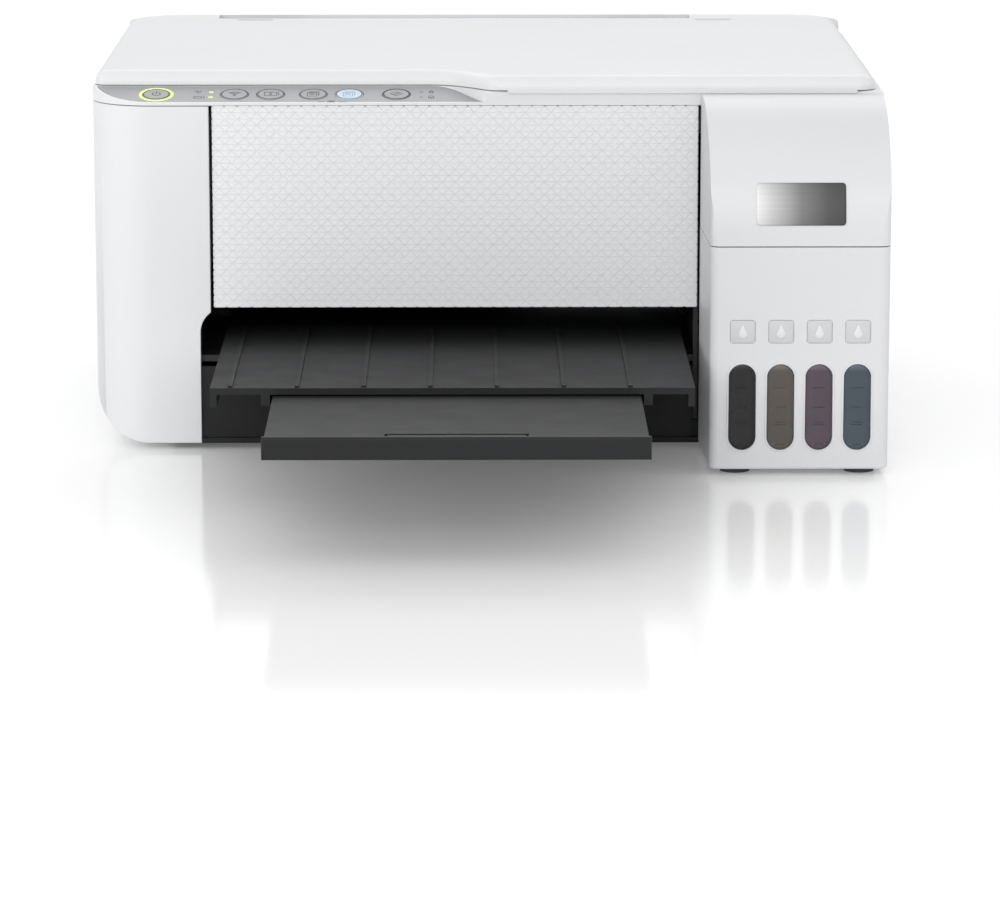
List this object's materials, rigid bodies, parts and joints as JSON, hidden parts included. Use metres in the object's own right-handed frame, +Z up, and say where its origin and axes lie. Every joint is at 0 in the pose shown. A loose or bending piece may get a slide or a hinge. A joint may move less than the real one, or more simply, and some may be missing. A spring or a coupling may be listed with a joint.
{
  "type": "inkjet printer",
  "caption": "Desktop A4 ink-tank inkjet printer with flatbed scanner, rear sheet feeder, pull-out output tray and a hinged ink tank cover.",
  "frame": {"origin": "middle of the footprint on the table, with the output tray pulled out", "axes": "+Z up, the front faces -Y, +X to the right seen from the front"},
  "size_m": [0.375, 0.534, 0.179],
  "materials": {
    "white_plastic": "fine moulded texture, satin",
    "tank_white": "fine leather grain, satin",
    "panel_white": "moulded triangle lattice",
    "black_plastic": "fine spark texture",
    "dark_plastic": "fine spark texture",
    "grey_plastic": "satin",
    "strip_grey": "in-mould film, satin gloss",
    "button_grey": "satin",
    "button_blue": "satin",
    "tank_clear": "translucent natural polypropylene",
    "felt": "pressed felt",
    "sheet_steel": "zinc-coated sheet",
    "motor_steel": "satin",
    "roller_steel": "ground",
    "screw_steel": "satin",
    "gear_plastic": "natural acetal",
    "gear_brass": "turned",
    "belt_rubber": "toothed rubber",
    "roller_rubber": "matt",
    "rubber_foot": "matt",
    "circuit_board": "green solder mask",
    "clear_glass": "polished",
    "pad_white": "foam-backed sheet",
    "cap_black": "satin",
    "cap_yellow": "satin",
    "cap_magenta": "satin",
    "cap_cyan": "satin"
  },
  "bodies": {
    "base": {"base_housing": "dark_plastic", "left_side_cover": "white_plastic", "right_side_cover": "white_plastic", "rear_cover": "white_plastic", "front_frame": "black_plastic", "tank_housing": "tank_white", "ink_tank_unit": "tank_clear", "main_frame": "sheet_steel", "platen": "black_plastic", "capping_station": "black_plastic", "waste_ink_pad": "felt", "feed_motor": "motor_steel", "carriage_motor": "motor_steel", "timing_belt": "belt_rubber", "main_board": "circuit_board", "power_supply": "black_plastic", "ac_inlet": "black_plastic", "feeder_housing": "white_plastic", "rubber_feet": "rubber_foot", "case_screws": "screw_steel"},
    "feed_shaft": {"feed_roller": "roller_steel", "feed_gear": "gear_plastic"},
    "idler": {"idler_gear": "gear_plastic"},
    "eject_shaft": {"eject_roller": "roller_rubber", "eject_gear": "gear_plastic"},
    "pinion": {"feed_pinion": "gear_brass"},
    "pinch_shaft": {"pinch_rollers": "black_plastic"},
    "star_shaft": {"star_wheels": "roller_steel"},
    "pickup": {"pickup_roller": "roller_rubber"},
    "drive_pulley": {"motor_pulley": "gear_brass"},
    "tension_pulley": {"idler_pulley": "gear_plastic"},
    "carriage_unit": {"carriage": "black_plastic", "print_head": "dark_plastic"},
    "guide_left": {"edge_guide_left": "grey_plastic"},
    "guide_right": {"edge_guide_right": "grey_plastic"},
    "support": {"paper_support": "white_plastic"},
    "extension": {"support_extension": "grey_plastic"},
    "guard": {"feeder_guard": "white_plastic"},
    "tray": {"output_tray": "dark_plastic"},
    "tray_end": {"tray_extension": "dark_plastic"},
    "stopper": {"tray_stopper": "dark_plastic"},
    "ink_cover": {"tank_cover": "tank_white"},
    "scanner": {"scanner_housing": "white_plastic", "front_panel": "panel_white", "scanner_glass": "clear_glass", "scan_rail": "roller_steel", "control_panel": "strip_grey"},
    "scan_bar": {"scan_head": "black_plastic"},
    "lid": {"document_cover": "white_plastic", "lid_pad": "pad_white"},
    "cap_black": {"tank_cap_black": "cap_black"},
    "cap_yellow": {"tank_cap_yellow": "cap_yellow"},
    "cap_magenta": {"tank_cap_magenta": "cap_magenta"},
    "cap_cyan": {"tank_cap_cyan": "cap_cyan"},
    "key_power": {"button_power": "button_grey"},
    "key_wifi": {"button_wifi": "button_grey"},
    "key_status": {"button_status": "button_grey"},
    "key_copy_mono": {"button_copy_mono": "button_grey"},
    "key_copy_color": {"button_copy_color": "button_blue"},
    "key_stop": {"button_stop": "button_grey"}
  },
  "joints": [
    {"name": "scanner_lift", "type": "hinge", "parent": "base", "child": "scanner", "pos_m": [0, 0.25, 0.1725], "axis": [-1, 0, 0], "range_deg": [0, 25]},
    {"name": "lid_hinge", "type": "hinge", "parent": "scanner", "child": "lid", "pos_m": [0, 0.2365, 0.174], "axis": [-1, 0, 0], "range_deg": [0, 75]},
    {"name": "tank_cover_hinge", "type": "hinge", "parent": "base", "child": "ink_cover", "pos_m": [0.145, -0.0225, 0.1655], "axis": [-1, 0, 0], "range_deg": [0, 85]},
    {"name": "cap_hinge_black", "type": "hinge", "parent": "base", "child": "cap_black", "pos_m": [0.1183, -0.042, 0.102], "axis": [-1, 0, 0], "range_deg": [0, 95]},
    {"name": "cap_hinge_yellow", "type": "hinge", "parent": "base", "child": "cap_yellow", "pos_m": [0.1361, -0.042, 0.102], "axis": [-1, 0, 0], "range_deg": [0, 95]},
    {"name": "cap_hinge_magenta", "type": "hinge", "parent": "base", "child": "cap_magenta", "pos_m": [0.1539, -0.042, 0.102], "axis": [-1, 0, 0], "range_deg": [0, 95]},
    {"name": "cap_hinge_cyan", "type": "hinge", "parent": "base", "child": "cap_cyan", "pos_m": [0.1717, -0.042, 0.102], "axis": [-1, 0, 0], "range_deg": [0, 95]},
    {"name": "tray_slide", "type": "slide", "parent": "base", "child": "tray", "axis": [0, 1, 0], "range_m": [0, 0.131]},
    {"name": "tray_extension_slide", "type": "slide", "parent": "tray", "child": "tray_end", "axis": [0, 1, 0], "range_m": [0, 0.119]},
    {"name": "tray_stopper_hinge", "type": "hinge", "parent": "tray_end", "child": "stopper", "pos_m": [-0.0137, -0.258, 0.0492], "axis": [-1, 0, 0], "range_deg": [-90, 0]},
    {"name": "paper_support_slide", "type": "slide", "parent": "base", "child": "support", "axis": [0, 0.342, 0.9397], "range_m": [0, 0.05]},
    {"name": "support_extension_slide", "type": "slide", "parent": "support", "child": "extension", "axis": [0, 0.342, 0.9397], "range_m": [0, 0.033]},
    {"name": "feeder_guard_hinge", "type": "hinge", "parent": "base", "child": "guard", "pos_m": [-0.0157, 0.2474, 0.1756], "axis": [1, 0, 0], "range_deg": [0, 95]},
    {"name": "guide_left_slide", "type": "slide", "parent": "base", "child": "guide_left", "axis": [1, 0, 0], "range_m": [0, 0.052]},
    {"name": "guide_right_slide", "type": "slide", "parent": "base", "child": "guide_right", "axis": [-1, 0, 0], "range_m": [0, 0.052]},
    {"name": "carriage_slide", "type": "slide", "parent": "base", "child": "carriage_unit", "axis": [-1, 0, 0], "range_m": [0, 0.25]},
    {"name": "drive_pulley_spin", "type": "hinge", "parent": "base", "child": "drive_pulley", "pos_m": [-0.16, 0.186, 0.139], "axis": [0, 0, 1], "continuous": true},
    {"name": "tension_pulley_spin", "type": "hinge", "parent": "base", "child": "tension_pulley", "pos_m": [0.16, 0.186, 0.139], "axis": [0, 0, 1], "continuous": true},
    {"name": "feed_roller_spin", "type": "hinge", "parent": "base", "child": "feed_shaft", "pos_m": [0, 0.158, 0.06], "axis": [1, 0, 0], "continuous": true},
    {"name": "idler_spin", "type": "hinge", "parent": "base", "child": "idler", "pos_m": [-0.171, 0.11687, 0.05284], "axis": [1, 0, 0], "continuous": true},
    {"name": "eject_roller_spin", "type": "hinge", "parent": "base", "child": "eject_shaft", "pos_m": [0, 0.084, 0.0605], "axis": [1, 0, 0], "continuous": true},
    {"name": "feed_motor_spin", "type": "hinge", "parent": "base", "child": "pinion", "pos_m": [-0.171, 0.18119, 0.04551], "axis": [1, 0, 0], "continuous": true},
    {"name": "pinch_roller_spin", "type": "hinge", "parent": "base", "child": "pinch_shaft", "pos_m": [0, 0.158, 0.0703], "axis": [1, 0, 0], "continuous": true},
    {"name": "star_wheel_spin", "type": "hinge", "parent": "base", "child": "star_shaft", "pos_m": [0, 0.084, 0.0714], "axis": [1, 0, 0], "continuous": true},
    {"name": "pickup_roller_spin", "type": "hinge", "parent": "base", "child": "pickup", "pos_m": [0, 0.20739, 0.09241], "axis": [1, 0, 0], "continuous": true},
    {"name": "scan_head_slide", "type": "slide", "parent": "scanner", "child": "scan_bar", "axis": [1, 0, 0], "range_m": [0, 0.304]},
    {"name": "press_power", "type": "slide", "parent": "scanner", "child": "key_power", "axis": [0, 0.2588, -0.9659], "range_m": [0, 0.0008], "stiffness_N_per_m": 500},
    {"name": "press_wifi", "type": "slide", "parent": "scanner", "child": "key_wifi", "axis": [0, 0.2588, -0.9659], "range_m": [0, 0.0008], "stiffness_N_per_m": 500},
    {"name": "press_status", "type": "slide", "parent": "scanner", "child": "key_status", "axis": [0, 0.2588, -0.9659], "range_m": [0, 0.0008], "stiffness_N_per_m": 500},
    {"name": "press_copy_mono", "type": "slide", "parent": "scanner", "child": "key_copy_mono", "axis": [0, 0.2588, -0.9659], "range_m": [0, 0.0008], "stiffness_N_per_m": 500},
    {"name": "press_copy_color", "type": "slide", "parent": "scanner", "child": "key_copy_color", "axis": [0, 0.2588, -0.9659], "range_m": [0, 0.0008], "stiffness_N_per_m": 500},
    {"name": "press_stop", "type": "slide", "parent": "scanner", "child": "key_stop", "axis": [0, 0.2588, -0.9659], "range_m": [0, 0.0008], "stiffness_N_per_m": 500}
  ],
  "couplings": [
    {"joint": "guide_right_slide", "follows": "guide_left_slide", "ratio": 1},
    {"joint": "idler_spin", "follows": "feed_roller_spin", "ratio": -0.92593},
    {"joint": "eject_roller_spin", "follows": "feed_roller_spin", "ratio": 1.6667},
    {"joint": "feed_motor_spin", "follows": "feed_roller_spin", "ratio": -2.7778},
    {"joint": "pinch_roller_spin", "follows": "feed_roller_spin", "ratio": -1.5},
    {"joint": "star_wheel_spin", "follows": "feed_roller_spin", "ratio": -1.8333},
    {"joint": "drive_pulley_spin", "follows": "carriage_slide", "rad_per_m": 188.68},
    {"joint": "tension_pulley_spin", "follows": "carriage_slide", "rad_per_m": 188.68}
  ]
}
